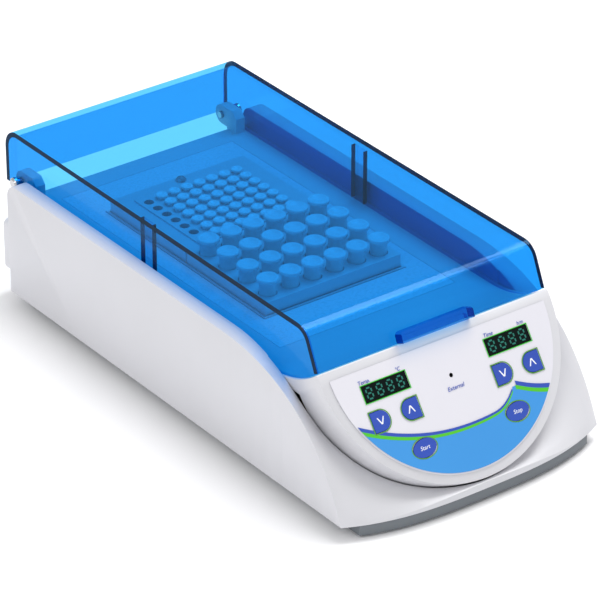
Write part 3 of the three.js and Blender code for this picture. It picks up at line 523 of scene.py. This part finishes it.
def cut_key_holes(piece):
    """Cuts the keys' holes through a printed layer, so that a pressed key sinks past its edge."""
    cutters = []
    for name in KEYS:
        x, down, _ = panel_spot(name)
        outline = key_outline(*key_form(name), KEY_HOLE) + [x, down]
        cutters.append(mesh_object(name + "_cutter", *slab(outline, 0, 2 * OVERLAY_FACE)))
        hole = piece.modifiers.new(name, "BOOLEAN")
        hole.operation, hole.solver, hole.object = "DIFFERENCE", "EXACT", cutters[-1]
    whole = piece.evaluated_get(bpy.context.evaluated_depsgraph_get())
    mesh = bpy.data.meshes.new_from_object(whole)
    piece.modifiers.clear()
    piece.data = mesh
    mesh.materials.clear()
    for cutter in cutters:
        bpy.data.objects.remove(cutter)


def printed(name, shape, material, body="housing", holed=False):
    """A printed or moulded mark on the panel that rides on a body."""
    piece = mesh_object(name, *shape)
    if holed:
        cut_key_holes(piece)
    piece.data.materials.append(material)
    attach(piece, body)


def sweep(across):
    """Top edge of the coloured field left of the notch: a shallow arc, lowest at middle, which rises
    by rise at reach from there, and from turn on bends up more quickly."""
    lowest, middle_x, rise, reach = 48.6, 4, 20.0, 72
    turn, lift, length = 18, 6.0, 16
    arc = lowest - rise * (np.abs(across - middle_x) / reach) ** 2.1
    return arc - lift * (np.maximum(across - turn, 0) / length) ** 2.2


def band_width(across, widest):
    """The dark and green bands taper evenly: from widest at left they lose taper over length."""
    left, length, taper = -68, 102, 0.55
    return widest * (1 - taper * (across - left) / length)


def right_edge(across):
    """Top edge of the right-hand bands: a line that slopes down to the round edge, with some sag."""
    start, fall, sag, length = 36.0, 8.4, 0.9, 22
    along = np.clip((across - RIGHT_START) / length, 0, 1)
    return start + fall * along + sag * np.sin(math.pi * along)


def foot(across):
    """The overlay's round edge, less a narrow white margin."""
    return np.sqrt(np.maximum((OVERLAY_RADIUS - OVERLAY_MARGIN) ** 2 - across ** 2, 0))


def word(name, text, x, down, height, base, ink_and_edge_shade, body):
    """A word centred at a place on the panel, as a mesh of its outline with a little thickness."""
    curve = bpy.data.curves.new(name, "FONT")
    curve.body = text
    curve.size = height * MM
    curve.align_x, curve.align_y = "CENTER", "CENTER"
    curve.shear = WORD_SHEAR
    curve.extrude = PRINT_THICK / 2 * MM
    loose = bpy.data.objects.new(name + "_outline", curve)
    bpy.context.scene.collection.objects.link(loose)
    mesh = bpy.data.meshes.new_from_object(loose)
    bpy.data.objects.remove(loose)
    turn = Matrix([[*axis] for axis in (ACROSS, UP_SLOPE, OUTWARD)]).transposed().to_4x4()
    spot = on_panel([[x, down, base + PRINT_THICK / 2]])[0]
    mesh.transform(Matrix.Translation(Vector(spot)) @ turn)
    mesh.name = name
    mesh.materials.clear()
    mesh.materials.append(ink_and_edge_shade)
    piece = bpy.data.objects.new(name, mesh)
    bpy.context.scene.collection.objects.link(piece)
    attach(piece, body)


class HEATER_OT_panel(bpy.types.Operator):
    """Prints the panel: colour field, bands, words and units"""
    bl_idname = "heater.panel"
    bl_label = "Panel print"

    def execute(self, context):
        paint(film("printed_film_white", "#dcdbe2", "#d7d6de"), "panel_overlay")
        sky = film("printed_ink_sky", "#3a93da", "#368cd2")
        green = film("printed_ink_green", "#52c026", "#4bb822")
        navy = film("printed_ink_navy", "#2d4fb5", "#2848a8")
        widest = context.scene.heater_sizes.band / MM
        left = np.linspace(self.crossing(sweep, -1), NOTCH - 0.6, 90)
        right = np.linspace(RIGHT_START, self.crossing(right_edge, 1), 30)
        whole = np.linspace(self.crossing(self.field_top, -1), self.crossing(self.field_top, 1), 160)
        base = OVERLAY_FACE
        printed("colour_field", ribbon(self.field_top, foot, whole, base, PRINT_THICK), sky,
                holed=True)
        thick = base + PRINT_THICK
        printed("green_band", ribbon(
            lambda x: np.minimum(sweep(x) + band_width(x, widest), foot(x)),
            lambda x: np.minimum(sweep(x) + 2 * band_width(x, widest), foot(x)),
            left, thick, PRINT_THICK), green, holed=True)
        printed("dark_band", ribbon(
            sweep, lambda x: np.minimum(sweep(x) + band_width(x, widest), foot(x)),
            left, thick, PRINT_THICK), navy, holed=True)
        printed("right_dark_band", ribbon(
            right_edge, lambda x: np.minimum(right_edge(x) + RIGHT_DARK, foot(x)), right, thick,
            PRINT_THICK), navy)
        # The green band starts a little further left than the dark one.
        printed("right_green_band", ribbon(
            lambda x: np.minimum(right_edge(x) + RIGHT_DARK, foot(x)),
            lambda x: np.minimum(right_edge(x) + RIGHT_BOTH, foot(x)), right - 0.9, thick,
            PRINT_THICK), green)
        # Each word, where its middle is across and down the panel, and its height.
        label = [("Temp.", -54.5, 7.0, 3.2), ("°C", -31.5, 7.0, 3.0), ("Time", 31.5, 7.0, 3.2),
                 ("h:m", 54.0, 7.0, 3.0), ("External", 0, 27.6, 3.4)]
        for place, (text, x, down, height) in enumerate(label):
            word(f"label_{place}", text, x, down, height, base, navy, "housing")
        return {"FINISHED"}

    def field_top(self, across):
        """The light field starts under the green band, and steps up to the right-hand bands."""
        widest = bpy.context.scene.heater_sizes.band / MM
        left = sweep(np.minimum(across, NOTCH)) + 1.2 * band_width(np.minimum(across, NOTCH), widest)
        return np.where(across < NOTCH, left, right_edge(across) + FIELD_LAP)

    def crossing(self, curve, side):
        """Where a curve meets the round edge on one side: the outermost of many places where it is
        still a little inside."""
        start = NOTCH if side > 0 else 0
        trial = side * np.linspace(start, OVERLAY_RADIUS - 0.6, 2000)
        inside = trial[curve(trial) < foot(trial) - 0.15]
        return inside.max() if side > 0 else inside.min()


def chevron(x, down, up):
    """A V of even width, turned over for an up key."""
    way = -1 if up else 1
    line = np.array([(-2.4, -2.0), (-1.7, -2.0), (0, 1.2), (1.7, -2.0), (2.4, -2.0), (0.5, 2.0),
                     (-0.5, 2.0)])
    return line * [1, way] + [x, down]


def key_outline(run, flip, grow):
    """A key's edge on the panel about its own middle, grown outward: an ellipse for start and stop,
    and otherwise a half circle that closes on a square side."""
    if run:
        angle = np.linspace(0, TAU, 48, endpoint=False)
        radii = np.array(KEY_OVAL) + grow
        return np.column_stack([np.cos(angle), np.sin(angle)]) * radii
    radius = KEY_HALF + grow
    angle = np.linspace(-math.pi / 2, math.pi / 2, 25)
    arc = np.column_stack([np.cos(angle), np.sin(angle)]) * radius
    return np.vstack([arc, [(-radius, radius), (-radius, -radius)]]) * [flip, 1]


def hoop(inner, outer, centre, base, thick):
    """A flat ring on the panel between two outlines with the same number of points: four loops of
    points, inner and outer at each height, with quads from each loop to the next."""
    count = len(inner)
    loops = [(inner, base), (outer, base), (outer, base + thick), (inner, base + thick)]
    points = np.vstack([np.column_stack([line + centre, np.full(count, level)])
                        for line, level in loops])
    index = np.arange(count)
    after = (index + 1) % count
    faces = [np.stack([index + a * count, after + a * count, after + b * count, index + b * count], -1)
             for a, b in ((0, 1), (1, 2), (2, 3), (3, 0))]
    return on_panel(points), np.vstack(faces).tolist()


class HEATER_OT_keys(bpy.types.Operator):
    """Finishes the six keys and their marks"""
    bl_idname = "heater.keys"
    bl_label = "Keys"

    def execute(self, context):
        # Domed polycarbonate film, printed blue on its back.
        paint(grained("domed_film_blue", "#2d4fb5", "#2846a3", 0.25, 1.2, 0.02), *KEYS)
        white = film("printed_ink_white", "#f2f4f8", "#e9ecf2")
        rim = film("printed_ink_green_rim", "#5a9c3c", "#529136")
        for name in KEYS:
            x, down, _ = panel_spot(name)
            run, flip = key_form(name)
            ring = hoop(key_outline(run, flip, KEY_HOLE), key_outline(run, flip, KEY_RIM), (x, down),
                        OVERLAY_FACE + 2 * PRINT_THICK, PRINT_THICK)
            printed(name + "_rim", ring, rim)
            top = ((node_points(name) / MM - PANEL_O) @ OUTWARD).max()
            if run:
                text = "Start" if name == "key_start" else "Stop"
                word(name + "_word", text, x, down, 3.3, top, white, key_body(name))
            else:
                mark = slab(chevron(x, down, name.endswith("up")), top, PRINT_THICK)
                printed(name + "_chevron", mark, white, key_body(name))
        return {"FINISHED"}


def digit(x, down, width, height, bar, base):
    """The seven bars of one figure: three across and four upright, each a six-sided bar."""
    half_w, half_h = width / 2, height / 2
    long_bar = np.array([(-1, 0), (-0.8, -0.5), (0.8, -0.5), (1, 0), (0.8, 0.5), (-0.8, 0.5)])
    parts = []
    for level in (-half_h, 0, half_h):
        bar_line = long_bar * [half_w - bar * 0.6, bar] + [x, down + level]
        parts.append(slab(bar_line, base, PRINT_THICK))
    for side in (-half_w, half_w):
        for level in (-half_h / 2, half_h / 2):
            bar_line = long_bar[:, ::-1] * [bar, half_h / 2 - bar * 0.6] + [x + side, down + level]
            parts.append(slab(bar_line, base, PRINT_THICK))
    return parts


class HEATER_OT_displays(bpy.types.Operator):
    """Finishes the two displays: glass, figures and printed surround"""
    bl_idname = "heater.displays"
    bl_label = "Displays"

    def execute(self, context):
        # Smoked display glass over a dark module.
        glass = grained("smoked_glass", "#020b0b", "#031110", 0.35, 2.0, 0.01)
        # Its face has a matt anti-glare coat, which mirrors little.
        glass.node_tree.nodes["Principled BSDF"].inputs["Specular IOR Level"].default_value = 0.12
        paint(glass, "display_temp", "display_time")
        teal = film("unlit_segment", "#147868", "#11695b", 0.5)
        green = film("printed_ink_green_frame", "#35c22a", "#30b826")
        for name in ("display_temp", "display_time"):
            x, down, _ = panel_spot(name)
            local = node_points(name) / MM - PANEL_O
            top = (local @ OUTWARD).max()
            half = (local @ ACROSS).max() - x
            tall = (-(local @ UP_SLOPE)).max() - down
            pitch = 2 * half / (DIGITS + 0.3)
            parts = []
            for place in (np.arange(DIGITS) - (DIGITS - 1) / 2) * pitch:
                parts += digit(x + place, down, pitch * 0.5, tall * 1.25, 0.9, top)
            printed(name + "_figures", joined(parts), teal)
            edge = FRAME_WIDTH / 2
            bars = [((x, down + way * (tall + edge)), half + 2 * edge, edge) for way in (-1, 1)]
            bars += [((x + way * (half + edge), down), edge, tall) for way in (-1, 1)]
            corners = np.array([(-1, -1), (1, -1), (1, 1), (-1, 1)])
            parts = [slab(corners * [w, h] + centre, OVERLAY_FACE, PRINT_THICK)
                     for centre, w, h in bars]
            printed(name + "_surround", joined(parts), green)
        return {"FINISHED"}


class HEATER_OT_studio(bpy.types.Operator):
    """Sets the floor, the soft lights and the camera"""
    bl_idname = "heater.studio"
    bl_label = "Studio"

    def execute(self, context):
        scene = context.scene
        # A sheet of white paper, just below the feet and far wider than the view.
        reach, below = 6, -0.0002
        corners = [(-reach, -reach, below), (reach, -reach, below), (reach, reach, below),
                   (-reach, reach, below)]
        floor = mesh_object("studio_floor", corners, [[0, 1, 2, 3]])
        floor.data.materials.append(grained("studio_paper", "#fafafb", "#f7f7f9", 0.9, 3.0, 0.02))
        world = bpy.data.worlds.new("studio")
        scene.world = world
        # Plain display colours, so that the finishes come out as their own values.
        scene.view_settings.view_transform = "Standard"
        world.use_nodes = True
        world.node_tree.nodes["Background"].inputs["Color"].default_value = (1, 1, 1, 1)
        world.node_tree.nodes["Background"].inputs["Strength"].default_value = 0.68
        # The key is a long soft box overhead, which the lid's front bend mirrors as a bright strip.
        for name, place, power, width, length in (("key_light", (0.85, 0.2, 2.05), 39, 1.0, 1.7),
                                                  ("fill_light", (-1.6, -0.5, 1.3), 12, 1.6, 1.6)):
            lamp = bpy.data.lights.new(name, "AREA")
            lamp.energy, lamp.shape, lamp.size, lamp.size_y = power, "RECTANGLE", width, length
            made = bpy.data.objects.new(name, lamp)
            made.location = place
            made.rotation_euler = (-Vector(place)).to_track_quat("-Z", "Y").to_euler()
            scene.collection.objects.link(made)
        eye = Vector((-1.2134, -1.6411, 1.2034))
        aim = Vector((0, -0.01135, 0.00464))
        data = bpy.data.cameras.new("camera")
        data.lens, data.sensor_width = 245.6, 36
        data.shift_x, data.shift_y = -0.011, 0.1148
        data.clip_end = 50
        camera = bpy.data.objects.new("camera", data)
        camera.location = eye
        camera.rotation_euler = (aim - eye).to_track_quat("-Z", "Y").to_euler()
        scene.collection.objects.link(camera)
        scene.camera = camera
        return {"FINISHED"}


class HEATER_PT_panel(bpy.types.Panel):
    """Lists the heater's operators"""
    bl_idname = "HEATER_PT_panel"
    bl_label = "Dry Block Heater"
    bl_space_type = "VIEW_3D"
    bl_region_type = "UI"
    bl_category = "Heater"

    def draw(self, context):
        for name in STEPS:
            self.layout.operator(f"heater.{name}")
        for group in (context.scene.heater_colours, context.scene.heater_sizes):
            for name in group.__annotations__:
                self.layout.prop(group, name)


CLASSES = (HeaterColours, HeaterSizes, HEATER_OT_shell, HEATER_OT_lid, HEATER_OT_tubes, HEATER_OT_panel,
           HEATER_OT_keys, HEATER_OT_displays, HEATER_OT_studio, HEATER_PT_panel)


def register():
    for made in CLASSES:
        bpy.utils.register_class(made)
    bpy.types.Scene.heater_colours = PointerProperty(type=HeaterColours)
    bpy.types.Scene.heater_sizes = PointerProperty(type=HeaterSizes)


def unregister():
    del bpy.types.Scene.heater_sizes
    del bpy.types.Scene.heater_colours
    for made in reversed(CLASSES):
        bpy.utils.unregister_class(made)


def main():
    register()
    for step in STEPS:
        getattr(bpy.ops.heater, step)()


if __name__ == "__main__":
    main()
